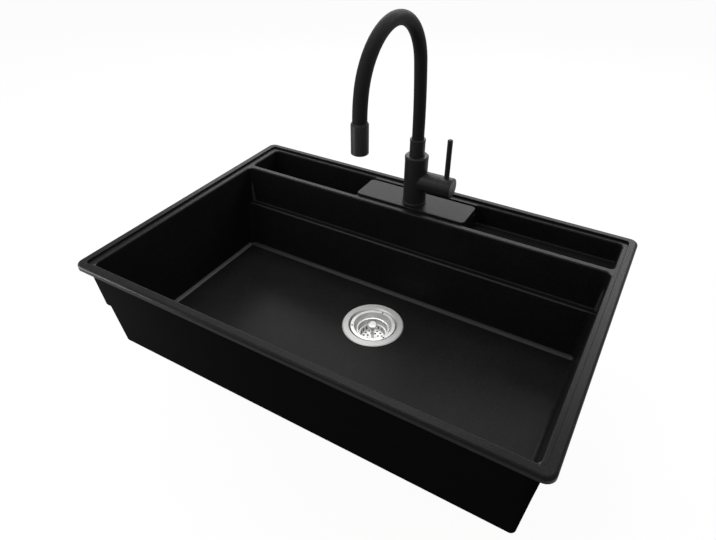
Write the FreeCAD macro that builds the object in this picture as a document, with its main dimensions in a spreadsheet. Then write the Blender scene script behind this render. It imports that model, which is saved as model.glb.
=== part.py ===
"""A drop-in granite sink with two rear troughs, a basket strainer and a hose-spout mixer tap.

Every size is in millimetres and every angle in degrees. The origin is the middle of the cut-out,
on the worktop plane under the rim; +Z is up and the user stands on the -Y side.
"""

import math
import os

import FreeCAD
import Part
import Sketcher
from FreeCAD import Placement, Rotation, Vector

SIZES = {
    # Rim and rebate of the moulding.
    "rim_length": 780,
    "rim_width": 530,
    "rim_thick": 10,
    "rim_corner": 15,
    "rim_round": 4.5,
    "band_side": 14,
    "band_front": 13,
    "band_back": 12.5,
    "rebate_drop": 4,
    "rebate_corner": 6,
    "rebate_round": 1,
    "ledge_left": 12.5,
    "ledge_right": 7.5,
    "ledge_front": 3,
    "ledge_back": 8.5,
    "roll_tuck": 2,
    "roll_inset": 1,
    "roll_radius": 2.4,
    # Bowl and troughs.
    "wall": 10,
    "draft": 3,
    "outer_draft": 5,
    "rim_lip": 12,
    "rim_lip_front": 8,
    "mouth_corner": 11,
    "mouth_round": 3,
    "shelf_depth": 80,
    "shelf_width": 11.5,
    "shelf_bevel": 2,
    "lower_corner": 11,
    "bowl_depth": 174,
    "floor_thick": 6.5,
    "floor_in_left": 4.5,
    "floor_in_right": 7.5,
    "floor_in_front": 4.5,
    "floor_in_back": 18.5,
    "outer_step": 75,
    "foot_wall": 7.5,
    "foot_corner": 8,
    "floor_round": 7.5,
    "foot_round": 4,
    "divider": 12.5,
    "trough_width": 80.5,
    "trough_corner": 8,
    "trough_round": 4,
    "trough_right_depth": 42,
    "trough_left_depth": 65,
    "trough_inner": 107,
    # Tap deck.
    "deck_half": 111,
    "deck_ahead": 28.5,
    "deck_behind": 36.5,
    "deck_corner": 8,
    "deck_round": 1.5,
    "deck_thick": 16,
    "deck_lip": 8,
    "hollow_half": 100,
    "hollow_ahead": 34,
    "hollow_behind": 30,
    "channel_depth": 20,
    "channel_tuck": 2,
    "channel_lap": 10,
    "channel_corner": 3,
    "tap_hole": 17.5,
    "tap_setback": 72.5,
    # Drain.
    "drain_place": 19,
    "drain_side": 10,
    "drain_hole": 45,
    "flange_recess": 58.5,
    "recess_drop": 2,
    "flange_radius": 57.5,
    "flange_thick": 1.8,
    "flange_edge": 0.6,
    "flange_bevel": 2,
    "throat_width": 1.5,
    "throat_depth": 2.5,
    "flange_seal_thick": 1,
    "seal_inset": 2,
    "cup_radius": 44,
    "cup_wall": 1.5,
    "cup_depth": 53,
    "outlet_radius": 23.9,
    "outlet_wall": 3.4,
    "outlet_length": 32,
    "gasket_radius": 56,
    "gasket_thick": 3,
    "backing_thick": 1.5,
    "lock_nut_radius": 60,
    "lock_nut_height": 12,
    "lock_side_count": 8,
    # Basket.
    "basket_radius": 41.5,
    "basket_lip": 35.5,
    "basket_foot": 23,
    "basket_drop": 2.5,
    "basket_depth": 32,
    "basket_gauge": 1.2,
    "basket_steps": 3,
    "slot_width": 2.6,
    "slot_count": 18,
    "slot_low": 3,
    "slot_high": 1.5,
    "basket_hole": 2,
    "hole_ring_inner": 10.5,
    "hole_ring_outer": 17.5,
    "inner_hole_count": 8,
    "outer_hole_count": 14,
    "rim_hole": 1.8,
    "rim_hole_ring": 38.6,
    "rim_hole_count": 3,
    "stem_radius": 3,
    "knob_radius": 9.5,
    "knob_height": 7,
    "knob_proud": 1,
    "knob_neck": 1.5,
    "knob_flare": 3.6,
    "knob_band": 1.4,
    "knob_ease": 1,
    "knob_fall": 0.8,
    "knob_crown": 3,
    "stem_grip": 4,
    "stopper_radius": 26,
    "stopper_thick": 5,
    "stopper_web": 1.5,
    "stopper_lead": 2,
    "stopper_taper": 4,
    "seat_gap": 0.3,
    # Tap foot and fixing.
    "base_seal_radius": 21.5,
    "base_seal_thick": 1.2,
    "base_radius": 22.3,
    "base_height": 2.6,
    "base_bevel": 1,
    "shank_radius": 17,
    "shank_bore": 14,
    "shank_depth": 52,
    "shank_socket": 15,
    "shank_grip": 20,
    "shank_plug": 4,
    "shank_step": 2,
    "inlet_block_height": 22,
    "inlet_spacing": 6.8,
    "inlet_radius": 5,
    "clamp_radius": 28,
    "clamp_seal_thick": 3,
    "clamp_seal_inset": 1,
    "clamp_plate_thick": 2.5,
    "fixing_nut_radius": 26.5,
    "fixing_nut_height": 10,
    "fixing_side_count": 6,
    # Tap body and lever.
    "body_radius": 21.3,
    "body_height": 94.5,
    "body_bore": 12,
    "band_radius": 21.6,
    "band_height": 7,
    "band_bevel": 2,
    "barrel_height": 46,
    "barrel_radius": 18.6,
    "barrel_bore": 13.5,
    "pivot_reach": 41,
    "ball_radius": 19.8,
    "ball_gap": 0.4,
    "lever_end": 73.5,
    "cap_round": 1.2,
    "cartridge_start": 13.5,
    "cartridge_end": 35.5,
    "cartridge_eye": 3,
    "cartridge_nut_bore": 9,
    "cartridge_nut_thick": 4,
    "rotor_radius": 8.6,
    "rotor_front": 6,
    "rotor_gap": 0.3,
    "rotor_slot": 8.4,
    "slot_room": 2,
    "lever_stem": 4,
    "stem_tail": 4,
    "stem_stop": 70,
    "pin_radius": 1.5,
    "pin_half": 8,
    "pin_gap": 0.05,
    "rod_reach": 60.5,
    "rod_radius": 4.7,
    "rod_top": 137,
    "rod_grip": 4.6,
    "rod_round": 1.6,
    "grub_radius": 2.5,
    "grub_reach": 66.5,
    "grub_sink": 2,
    # Spout.
    "collar_radius": 14.1,
    "neck_radius": 13.8,
    "ferrule_height": 5,
    "collar_height": 31.5,
    "collar_bevel": 1,
    "collar_gap": 0.4,
    "collar_socket": 20,
    "spigot_radius": 10.55,
    "spigot_length": 30,
    "spigot_bore": 7,
    "bush_radius": 10.6,
    "bush_length": 24,
    "ring_groove": 9.2,
    "ring_section": 0.68,
    "ring_half": 0.8,
    "ring_depth": 12,
    "clip_radius": 11.7,
    "clip_groove": 9.6,
    "clip_depth": 24.8,
    "clip_thick": 1.5,
    "hose_radius": 10.9,
    "hose_bore": 7,
    "tube_bore": 4.5,
    "hose_rise": 136,
    "hose_lean_radius": 950,
    "lean_angle": 7.6,
    "arch_angle": 159.7,
    "hose_drop_radius": 185,
    "reach": 202,
    "nozzle_top": 228.5,
    "nozzle_bottom": 181,
    "nozzle_radius": 13.2,
    "nozzle_socket": 12,
    "nozzle_bore": 11.5,
    "nozzle_cavity": 14,
    "nozzle_round": 1,
    "shoulder_height": 3,
    "shoulder_in": 1.6,
    "aerator_radius": 8.5,
    "aerator_inset": 1.5,
    "housing_inset": 0.6,
    "aerator_height": 9,
    "jet_radius": 0.9,
    "jet_ring": 5.4,
    "jet_count": 12,
    # How far a cutting tool runs past the face it cuts.
    "tool_over": 1,
}

doc = FreeCAD.newDocument("granite_sink")
sheet = doc.addObject("Spreadsheet::Sheet", "size")
for row, (alias, number) in enumerate(SIZES.items(), 1):
    sheet.set(f"A{row}", alias)
    sheet.set(f"B{row}", str(number))
    sheet.setAlias(f"B{row}", alias)
doc.recompute()

NODES = []

# Levels and outlines of the moulding, as expressions on the sheet.
REBATE = "(size.rim_thick - size.rebate_drop)"
SHELF = "(size.rim_thick - size.shelf_depth)"
FLOOR = "(size.rim_thick - size.bowl_depth)"
UNDERFLOOR = f"({FLOOR} - size.floor_thick)"
TROUGH_RIGHT = "(size.rim_thick - size.trough_right_depth)"
TROUGH_LEFT = "(size.rim_thick - size.trough_left_depth)"
MOUTH_LEFT = "(-size.rim_length / 2 + size.band_side + size.ledge_left)"
MOUTH_RIGHT = "(size.rim_length / 2 - size.band_side - size.ledge_right)"
MOUTH_FRONT = "(-size.rim_width / 2 + size.band_front + size.ledge_front)"
TROUGH_BACK = "(size.rim_width / 2 - size.band_back - size.ledge_back)"
TROUGH_FRONT = f"({TROUGH_BACK} - size.trough_width)"
MOUTH_BACK = f"({TROUGH_FRONT} - size.divider)"
SHELF_IN = f"(({REBATE} - {SHELF}) * tan(size.draft))"
LOWER_LEFT = f"({MOUTH_LEFT} + {SHELF_IN})"
LOWER_RIGHT = f"({MOUTH_RIGHT} - {SHELF_IN})"
LOWER_FRONT = f"({MOUTH_FRONT} + {SHELF_IN} + size.shelf_width)"
LOWER_BACK = f"({MOUTH_BACK} - {SHELF_IN} - size.shelf_width)"
FLOOR_LEFT = f"({LOWER_LEFT} + size.floor_in_left)"
FLOOR_RIGHT = f"({LOWER_RIGHT} - size.floor_in_right)"
FLOOR_FRONT = f"({LOWER_FRONT} + size.floor_in_front)"
FLOOR_BACK = f"({LOWER_BACK} - size.floor_in_back)"
OUTER_X = "(size.rim_length / 2 - size.rim_lip)"
OUTER_FRONT = "(-size.rim_width / 2 + size.rim_lip_front)"
OUTER_BACK = f"({TROUGH_BACK} + size.wall)"
BACK_DEEP = f"(size.wall - {TROUGH_RIGHT})"
BACK_IN = f"({BACK_DEEP} * tan(size.outer_draft))"
STEP_X = f"({OUTER_X} - size.outer_step * tan(size.outer_draft))"

# Places and levels of the drain and the tap.
TAP = "(size.rim_width / 2 - size.tap_setback)"
SEAT = f"({FLOOR} - size.recess_drop)"
FLANGE = f"({SEAT} + size.flange_seal_thick)"
FLANGE_TOP = f"({FLANGE} + size.flange_thick)"
CUP_BOTTOM = f"({FLANGE} - size.cup_depth)"
GASKET_BOTTOM = f"({UNDERFLOOR} - size.gasket_thick)"
BACKING_BOTTOM = f"({GASKET_BOTTOM} - size.backing_thick)"
BASKET_TOP = f"({FLANGE_TOP} - size.basket_drop)"
BASKET_FLOOR = f"({BASKET_TOP} - size.basket_depth)"
STOPPER = f"({CUP_BOTTOM} + size.cup_wall + size.seat_gap)"
STOPPER_TOP = f"({STOPPER} + size.stopper_thick)"
DECK = "size.rim_thick"
BASE = f"({DECK} + size.base_seal_thick)"
BODY = f"({BASE} + size.base_height)"
BODY_TOP = f"({DECK} + size.body_height)"
UNDERDECK = "(size.rim_thick - size.deck_thick)"
SHANK_END = "(size.rim_thick - size.shank_depth)"
CLAMP = f"({UNDERDECK} - size.clamp_seal_thick)"
CLAMP_END = f"({CLAMP} - size.clamp_plate_thick)"
BARREL = f"({DECK} + size.barrel_height)"
CARTRIDGE_FACE = "(size.cartridge_end - size.cartridge_nut_thick)"
COLLAR = f"({BODY_TOP} + size.collar_gap)"
COLLAR_TOP = f"({BODY_TOP} + size.collar_height)"
NOZZLE_TOP = f"({DECK} + size.nozzle_top)"
NOZZLE_END = f"({DECK} + size.nozzle_bottom)"


def number(alias):
    """The value of one cell of the sheet."""
    return float(sheet.get(alias))


def tap_axis():
    """How far back the tap stands, as a number."""
    return number("rim_width") / 2 - number("tap_setback")


def plane(body, role):
    """One of the body's own origin planes or axes."""
    return next(item for item in body.Origin.OriginFeatures if item.Role == role)


def new_body(name, x="0", y="0", z="0", rotation=None):
    """An empty body whose place is bound to the sheet."""
    body = doc.addObject("PartDesign::Body", name)
    if rotation:
        body.Placement = Placement(Vector(), rotation)
    for axis, expression in zip("xyz", (x, y, z)):
        body.setExpression(f"Placement.Base.{axis}", expression)
    return body


def new_sketch(body, name, role, level):
    """An empty sketch on an origin plane of the body, lifted to a level."""
    sketch = body.newObject("Sketcher::SketchObject", name)
    sketch.AttachmentSupport = [(plane(body, role), "")]
    sketch.MapMode = "FlatFace"
    sketch.setExpression("AttachmentOffset.Base.z", level)
    return sketch


def dimension(sketch, name, expression, *constraint):
    """One named dimension of a sketch, bound to the sheet."""
    index = sketch.addConstraint(Sketcher.Constraint(*constraint))
    sketch.renameConstraint(index, name)
    sketch.setExpression(f"Constraints.{name}", expression)


def rectangle(body, name, level, x_range, y_range, corner):
    """A rounded rectangle drawn flat at a level."""
    sketch = new_sketch(body, name, "XY_Plane", level)
    a, b, r = 100.0, 60.0, 5.0
    sides = (
        ((r - a, -b), (a - r, -b)),
        ((a, r - b), (a, b - r)),
        ((a - r, b), (r - a, b)),
        ((-a, b - r), (-a, r - b)),
    )
    centres = ((a - r, r - b), (a - r, b - r), (r - a, b - r), (r - a, r - b))
    for start, end in sides:
        sketch.addGeometry(Part.LineSegment(Vector(*start), Vector(*end)), False)
    for turn, centre in enumerate(centres):
        circle = Part.Circle(Vector(*centre), Vector(0, 0, 1), r)
        first = math.radians(90 * turn - 90)
        sketch.addGeometry(Part.ArcOfCircle(circle, first, first + math.pi / 2), False)
    rules = []
    for side in range(4):
        rules.append(Sketcher.Constraint("Vertical" if side % 2 else "Horizontal", side))
        rules.append(Sketcher.Constraint("Tangent", side, 2, 4 + side, 1))
        rules.append(Sketcher.Constraint("Tangent", 4 + side, 2, (side + 1) % 4, 1))
    for arc in (4, 5, 6):
        rules.append(Sketcher.Constraint("Equal", arc, arc + 1))
    sketch.addConstraint(rules)
    dimension(sketch, "front", y_range[0], "DistanceY", -1, 1, 0, 1, -b)
    dimension(sketch, "back", y_range[1], "DistanceY", -1, 1, 2, 1, b)
    dimension(sketch, "left", x_range[0], "DistanceX", -1, 1, 3, 1, -a)
    dimension(sketch, "right", x_range[1], "DistanceX", -1, 1, 1, 1, a)
    dimension(sketch, "corner", corner, "Radius", 4, r)
    return sketch


def outline(body, name, role, points, level="0"):
    """A closed outline of straight lines; each point is a pair of expressions."""
    sketch = new_sketch(body, name, role, level)
    count = len(points)
    guess = []
    for step in range(count):
        angle = 2 * math.pi * step / count
        guess.append(Vector(60 + 40 * math.cos(angle), 40 * math.sin(angle)))
    for step in range(count):
        sketch.addGeometry(Part.LineSegment(guess[step], guess[(step + 1) % count]), False)
    for step in range(count):
        sketch.addConstraint(Sketcher.Constraint("Coincident", step, 2, (step + 1) % count, 1))
    for step, (across, up) in enumerate(points):
        dimension(sketch, f"across_{step}", across, "DistanceX", -1, 1, step, 1, guess[step].x)
        dimension(sketch, f"up_{step}", up, "DistanceY", -1, 1, step, 1, guess[step].y)
    return sketch


def circles(body, name, level, places):
    """A flat sketch of circles; each place is x, y and a radius."""
    sketch = new_sketch(body, name, "XY_Plane", level)
    for step, (x, y, radius) in enumerate(places):
        centre = Vector(20 + 10 * step, 15)
        sketch.addGeometry(Part.Circle(centre, Vector(0, 0, 1), 3), False)
        dimension(sketch, f"x_{step}", x, "DistanceX", -1, 1, step, 3, centre.x)
        dimension(sketch, f"y_{step}", y, "DistanceY", -1, 1, step, 3, centre.y)
        dimension(sketch, f"radius_{step}", radius, "Radius", step, 3)
    return sketch


def pad(body, sketch, name, length, down=False, taper=None):
    """Material added from a sketch, up or down."""
    feature = body.newObject("PartDesign::Pad", name)
    feature.Profile = sketch
    feature.setExpression("Length", length)
    feature.Reversed = down
    if taper:
        feature.setExpression("TaperAngle", taper)
    doc.recompute()
    return feature


def pocket(body, sketch, name, length, up=False, taper=None, both=False):
    """Material removed from a sketch, down unless up is asked for; the volume has to fall."""
    before = body.Shape.Volume
    feature = body.newObject("PartDesign::Pocket", name)
    feature.Profile = sketch
    feature.setExpression("Length", length)
    feature.Reversed = up
    feature.Midplane = both
    if taper:
        feature.setExpression("TaperAngle", taper)
    doc.recompute()
    if not body.Shape.Volume < before - 1e-3:
        raise RuntimeError(f"{name} removed nothing")
    return feature


def loft(body, kind, name, first, last):
    """Material added or removed between two like outlines, with flat sides."""
    before = body.Shape.Volume
    feature = body.newObject(f"PartDesign::{kind}Loft", name)
    feature.Profile = first
    feature.Sections = [last]
    feature.Ruled = True
    doc.recompute()
    if abs(body.Shape.Volume - before) < 1:
        raise RuntimeError(f"{name} changed nothing")
    return feature


def pattern(body, feature, name, count):
    """A feature repeated in a full circle about the body's Z axis."""
    copies = body.newObject("PartDesign::PolarPattern", name)
    copies.Originals = [feature]
    copies.Axis = (plane(body, "Z_Axis"), [""])
    copies.Angle = 360
    copies.setExpression("Occurrences", count)
    body.Tip = copies
    doc.recompute()
    return copies


def chosen(shape, test):
    """Names of the edges all of whose sample points pass a test."""
    names = []
    for index, edge in enumerate(shape.Edges, 1):
        first, last = edge.ParameterRange
        samples = [edge.valueAt(first + (last - first) * part) for part in (0.02, 0.35, 0.65, 0.98)]
        if all(test(point) for point in samples):
            names.append(f"Edge{index}")
    if not names:
        raise RuntimeError("no edge to round")
    return names


def rounded(body, name, radius, test):
    """A fillet on the edges that pass a test."""
    base = body.Tip
    feature = body.newObject("PartDesign::Fillet", name)
    feature.Base = (base, chosen(base.Shape, test))
    feature.setExpression("Radius", radius)
    doc.recompute()
    return feature


def turned(name, points, x="0", y="0", z="0", rotation=None):
    """A body turned about its own Z axis from pairs of radius and height."""
    body = new_body(name, x, y, z, rotation)
    profile = outline(body, f"{name}_profile", "XZ_Plane", points)
    feature = body.newObject("PartDesign::Revolution", f"{name}_turn")
    feature.Profile = profile
    feature.ReferenceAxis = (profile, ["V_Axis"])
    feature.Angle = 360
    doc.recompute()
    return body


def ring(name, inner, outer, low, high, **place):
    """A plain ring between two radii and two levels."""
    points = ((inner, low), (outer, low), (outer, high), (inner, high))
    return turned(name, points, **place)


def primitive(kind, name, place, rotation=None, **sizes):
    """A Part primitive with bound sizes and place."""
    item = doc.addObject(f"Part::{kind}", name)
    if rotation:
        item.Placement = Placement(Vector(), rotation)
    for prop, expression in sizes.items():
        item.setExpression(prop, expression)
    for axis, expression in zip("xyz", place):
        item.setExpression(f"Placement.Base.{axis}", expression)
    return item


def cut(name, base, *tools):
    """The base with each tool taken away."""
    result = base
    for step, tool in enumerate(tools, 1):
        item = doc.addObject("Part::Cut", name if step == len(tools) else f"{name}_cut_{step}")
        item.Base = result
        item.Tool = tool
        result = item
    doc.recompute()
    return result


def joined(name, *pieces):
    """Pieces merged into one solid."""
    item = doc.addObject("Part::MultiFuse", name)
    item.Shapes = list(pieces)
    item.Refine = True
    doc.recompute()
    return item


def node(item, name):
    """Marks a finished object as one piece of the assembly."""
    item.Label = name
    NODES.append((name, item))
    return item


ALONG_X = Rotation(Vector(0, 1, 0), 90)
ALONG_Y = Rotation(Vector(1, 0, 0), -90)
AT_DRAIN = {"x": "size.drain_side", "y": "size.drain_place"}
AT_TAP = {"y": TAP}
AT_NOZZLE = {"y": f"{TAP} - size.reach"}
AT_BARREL = {"y": TAP, "z": BARREL, "rotation": ALONG_X}


def make_basin():
    """The one-piece stone composite moulding."""
    body = new_body("basin")
    half_length = "size.rim_length / 2"
    half_width = "size.rim_width / 2"
    rim = rectangle(body, "rim_outline", "0", (f"-{half_length}", half_length),
                    (f"-{half_width}", half_width), "size.rim_corner")
    pad(body, rim, "rim", "size.rim_thick")
    top = number("rim_thick")
    rounded(body, "rim_edge", "size.rim_round", lambda p: abs(p.z - top) < 0.01)

    # The outside: the back block, the upper bowl under it and the lower bowl down to its foot.
    outer_corner = "(size.mouth_corner + size.wall)"
    back = rectangle(body, "back_outline", "0", (f"-{OUTER_X}", OUTER_X),
                     (OUTER_FRONT, OUTER_BACK), outer_corner)
    pad(body, back, "back_block", BACK_DEEP, True, "-size.outer_draft")
    upper = rectangle(body, "upper_outline", f"-{BACK_DEEP}",
                      (f"-({OUTER_X} - {BACK_IN})", f"{OUTER_X} - {BACK_IN}"),
                      (f"{OUTER_FRONT} + {BACK_IN}", f"{MOUTH_BACK} + size.wall"),
                      f"{outer_corner} - {BACK_IN}")
    pad(body, upper, "upper_block", f"size.outer_step - {BACK_DEEP}", True, "-size.outer_draft")
    lower = rectangle(body, "lower_outline", "-size.outer_step", (f"-{STEP_X}", STEP_X),
                      (f"{LOWER_FRONT} - size.wall", f"{LOWER_BACK} + size.wall"),
                      "size.foot_corner")
    foot = rectangle(body, "foot_outline", UNDERFLOOR,
                     (f"{FLOOR_LEFT} - size.foot_wall", f"{FLOOR_RIGHT} + size.foot_wall"),
                     (f"{FLOOR_FRONT} - size.foot_wall", f"{FLOOR_BACK} + size.foot_wall"),
                     "size.foot_corner")
    loft(body, "Additive", "lower_block", lower, foot)
    underfloor = number("rim_thick") - number("bowl_depth") - number("floor_thick")
    rounded(body, "foot_edge", "size.foot_round", lambda p: abs(p.z - underfloor) < 0.01)
    deep = rectangle(body, "left_trough_outline", f"-{BACK_DEEP}",
                     (f"-({OUTER_X} - {BACK_IN})", "-size.trough_inner + size.wall"),
                     (f"{TROUGH_FRONT} - size.wall", f"{OUTER_BACK} - {BACK_IN}"), outer_corner)
    pad(body, deep, "left_trough_block", f"size.wall - {TROUGH_LEFT} - {BACK_DEEP}", True,
        "-size.outer_draft")

    # The rebate round the opening, then the bowl and the two troughs sunk from it.
    rebate_x = f"({half_length} - size.band_side)"
    rebate = rectangle(body, "rebate_outline", "size.rim_thick", (f"-{rebate_x}", rebate_x),
                       (f"-{half_width} + size.band_front", f"{half_width} - size.band_back"),
                       "size.rebate_corner")
    pocket(body, rebate, "rebate", "size.rebate_drop")
    edge_x = number("rim_length") / 2 - number("band_side") + 0.1
    rounded(body, "rebate_edge", "size.rebate_round",
            lambda p: abs(p.z - top) < 0.01 and abs(p.x) < edge_x)
    step = top - number("rebate_drop")
    mouth_front = -number("rim_width") / 2 + number("band_front") + number("ledge_front")
    mouth_back = (number("rim_width") / 2 - number("band_back") - number("ledge_back")
                  - number("trough_width") - number("divider"))
    mouth_left = -number("rim_length") / 2 + number("band_side") + number("ledge_left") - 0.1
    mouth_right = number("rim_length") / 2 - number("band_side") - number("ledge_right") + 0.1
    bowl = rectangle(body, "bowl_outline", REBATE, (MOUTH_LEFT, MOUTH_RIGHT),
                     (MOUTH_FRONT, MOUTH_BACK), "size.mouth_corner")
    pocket(body, bowl, "bowl", f"{REBATE} - {SHELF}", taper="-size.draft")
    rounded(body, "bowl_edge", "size.mouth_round",
            lambda p: abs(p.z - step) < 0.01 and mouth_left < p.x < mouth_right
            and mouth_front - 0.1 < p.y < mouth_back + 0.1)
    sides = (
        ("right", ("size.trough_inner", MOUTH_RIGHT), TROUGH_RIGHT, "trough_right_depth"),
        ("left", (MOUTH_LEFT, "-size.trough_inner"), TROUGH_LEFT, "trough_left_depth"),
    )
    for side, x_range, level, depth in sides:
        sign = 1 if side == "right" else -1
        trough = rectangle(body, f"{side}_trough_mouth", REBATE, x_range,
                           (TROUGH_FRONT, TROUGH_BACK), "size.trough_corner")
        pocket(body, trough, f"{side}_trough", f"{REBATE} - {level}", taper="-size.draft")
        inner = number("trough_inner") - 0.1
        first = mouth_back + number("divider") - 0.1
        last = first + number("trough_width") + 0.2
        rounded(body, f"{side}_trough_edge", "size.mouth_round",
                lambda p: abs(p.z - step) < 0.01 and inner < sign * p.x
                and mouth_left < p.x < mouth_right and first < p.y < last)
        bottom = top - number(depth)
        rounded(body, f"{side}_trough_floor", "size.trough_round",
                lambda p: abs(p.z - bottom) < 0.01 and inner < sign * p.x
                and mouth_left < p.x < mouth_right and first < p.y < last)

    lower_bowl = rectangle(body, "lower_bowl_outline", SHELF, (LOWER_LEFT, LOWER_RIGHT),
                           (LOWER_FRONT, LOWER_BACK), "size.lower_corner")
    bowl_floor = rectangle(body, "bowl_floor_outline", FLOOR, (FLOOR_LEFT, FLOOR_RIGHT),
                           (FLOOR_FRONT, FLOOR_BACK), "size.lower_corner")
    loft(body, "Subtractive", "lower_bowl", lower_bowl, bowl_floor)
    floor = top - number("bowl_depth")
    rounded(body, "floor_edge", "size.floor_round", lambda p: abs(p.z - floor) < 0.01)

    # The lips of the two accessory shelves are eased.
    bevel = "size.shelf_bevel"
    lips = (("front", LOWER_FRONT, "-"), ("back", LOWER_BACK, "+"))
    for side, place, away in lips:
        inward = "+" if away == "-" else "-"
        points = (
            (f"{place} {away} {bevel}", SHELF),
            (f"{place} {inward} size.tool_over", SHELF),
            (f"{place} {inward} size.tool_over", f"{SHELF} - {bevel} - size.tool_over"),
            (f"{place}", f"{SHELF} - {bevel}"),
        )
        lip = outline(body, f"{side}_lip_outline", "YZ_Plane", points)
        pocket(body, lip, f"{side}_lip", f"2 * (-{LOWER_LEFT} - size.lower_corner)", both=True)

    # The front band rolls straight into the bowl, without the rebate.
    roll_front = f"{MOUTH_FRONT} - size.ledge_front - size.roll_tuck"
    roll_left = f"{MOUTH_LEFT} + size.roll_inset"
    roll_right = f"{MOUTH_RIGHT} - size.roll_inset"
    roll = outline(body, "front_roll_outline", "XY_Plane", (
        (roll_left, roll_front),
        (roll_right, roll_front),
        (roll_right, MOUTH_FRONT),
        (roll_left, MOUTH_FRONT),
    ), f"{REBATE} - size.rebate_drop")
    pad(body, roll, "front_roll", "2 * size.rebate_drop")
    rounded(body, "front_roll_edge", "size.roll_radius",
            lambda p: abs(p.z - top) < 0.01 and abs(p.y - mouth_front) < 0.01)

    # A channel behind the tap deck joins the troughs; the deck laps over it and over their ends.
    channel_x = "(size.trough_inner + size.channel_lap)"
    channel = rectangle(body, "channel_outline", REBATE, (f"-{channel_x}", channel_x),
                        (f"({TAP} + size.deck_behind - size.channel_tuck)",
                         f"({TROUGH_BACK} - size.mouth_round)"), "size.channel_corner")
    pocket(body, channel, "channel", "size.channel_depth - size.rebate_drop")
    deck = rectangle(body, "deck_outline", "size.rim_thick - size.deck_lip",
                     ("-size.deck_half", "size.deck_half"),
                     (f"({TAP} - size.deck_ahead)", f"({TAP} + size.deck_behind)"), "size.deck_corner")
    pad(body, deck, "deck", "size.deck_lip")
    deck_x = number("deck_half") + 0.1
    deck_low = tap_axis() - number("deck_ahead") - 0.1
    deck_high = tap_axis() + number("deck_behind") + 0.1
    rounded(body, "deck_edge", "size.deck_round",
            lambda p: abs(p.z - top) < 0.01 and abs(p.x) < deck_x
            and deck_low < p.y < deck_high)

    # The hollow under the deck and the tap's hole; then the drain's seat and its hole.
    hollow = rectangle(body, "hollow_outline", f"-{BACK_DEEP}",
                       ("-size.hollow_half", "size.hollow_half"),
                       (f"({TAP} - size.hollow_ahead)", f"({TAP} + size.hollow_behind)"),
                       "size.trough_corner")
    pocket(body, hollow, "hollow", f"{BACK_DEEP} + {UNDERDECK}", up=True)
    hole = circles(body, "tap_hole_outline", DECK, (("0", TAP, "size.tap_hole"),))
    pocket(body, hole, "tap_hole", "size.deck_thick + size.tool_over")
    seat = circles(body, "seat_outline", FLOOR,
                   (("size.drain_side", "size.drain_place", "size.flange_recess"),))
    pocket(body, seat, "seat", "size.recess_drop")
    drain = circles(body, "drain_outline", FLOOR,
                    (("size.drain_side", "size.drain_place", "size.drain_hole"),))
    pocket(body, drain, "drain", "size.floor_thick + size.tool_over")
    node(body, "basin")


def make_drain():
    """The strainer body clamped through the bowl floor."""
    node(ring("flange_seal", "size.drain_hole", "size.flange_recess - size.seal_inset", SEAT, FLANGE,
              **AT_DRAIN), "flange_seal")
    bore = "size.cup_radius - size.cup_wall"
    pipe = "size.outlet_radius - size.outlet_wall"
    inside = f"{CUP_BOTTOM} + size.cup_wall"
    points = (
        (pipe, f"{CUP_BOTTOM} - size.outlet_length"),
        ("size.outlet_radius", f"{CUP_BOTTOM} - size.outlet_length"),
        ("size.outlet_radius", CUP_BOTTOM),
        ("size.cup_radius", CUP_BOTTOM),
        ("size.cup_radius", FLANGE),
        ("size.flange_radius", FLANGE),
        ("size.flange_radius", f"{FLANGE} + size.flange_edge"),
        ("size.flange_radius - size.flange_bevel", FLANGE_TOP),
        ("size.cup_radius + size.throat_width", FLANGE_TOP),
        (bore, f"{FLANGE_TOP} - size.throat_depth"),
        (bore, inside),
        (pipe, inside),
    )
    node(turned("drain_cup", points, **AT_DRAIN), "drain_cup")
    node(ring("drain_gasket", "size.cup_radius", "size.gasket_radius", GASKET_BOTTOM, UNDERFLOOR,
              **AT_DRAIN), "drain_gasket")
    node(ring("backing_ring", "size.cup_radius", "size.gasket_radius", BACKING_BOTTOM,
              GASKET_BOTTOM, **AT_DRAIN), "backing_ring")
    low = f"{BACKING_BOTTOM} - size.lock_nut_height"
    nut = primitive("Prism", "lock_nut_blank", ("size.drain_side", "size.drain_place", low),
                    Polygon="size.lock_side_count", Circumradius="size.lock_nut_radius",
                    Height="size.lock_nut_height")
    bored = primitive("Cylinder", "lock_nut_bore",
                      ("size.drain_side", "size.drain_place", f"{low} - size.tool_over"),
                      Radius="size.cup_radius", Height="size.lock_nut_height + 2 * size.tool_over")
    node(cut("drain_lock_nut", nut, bored), "drain_lock_nut")


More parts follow.
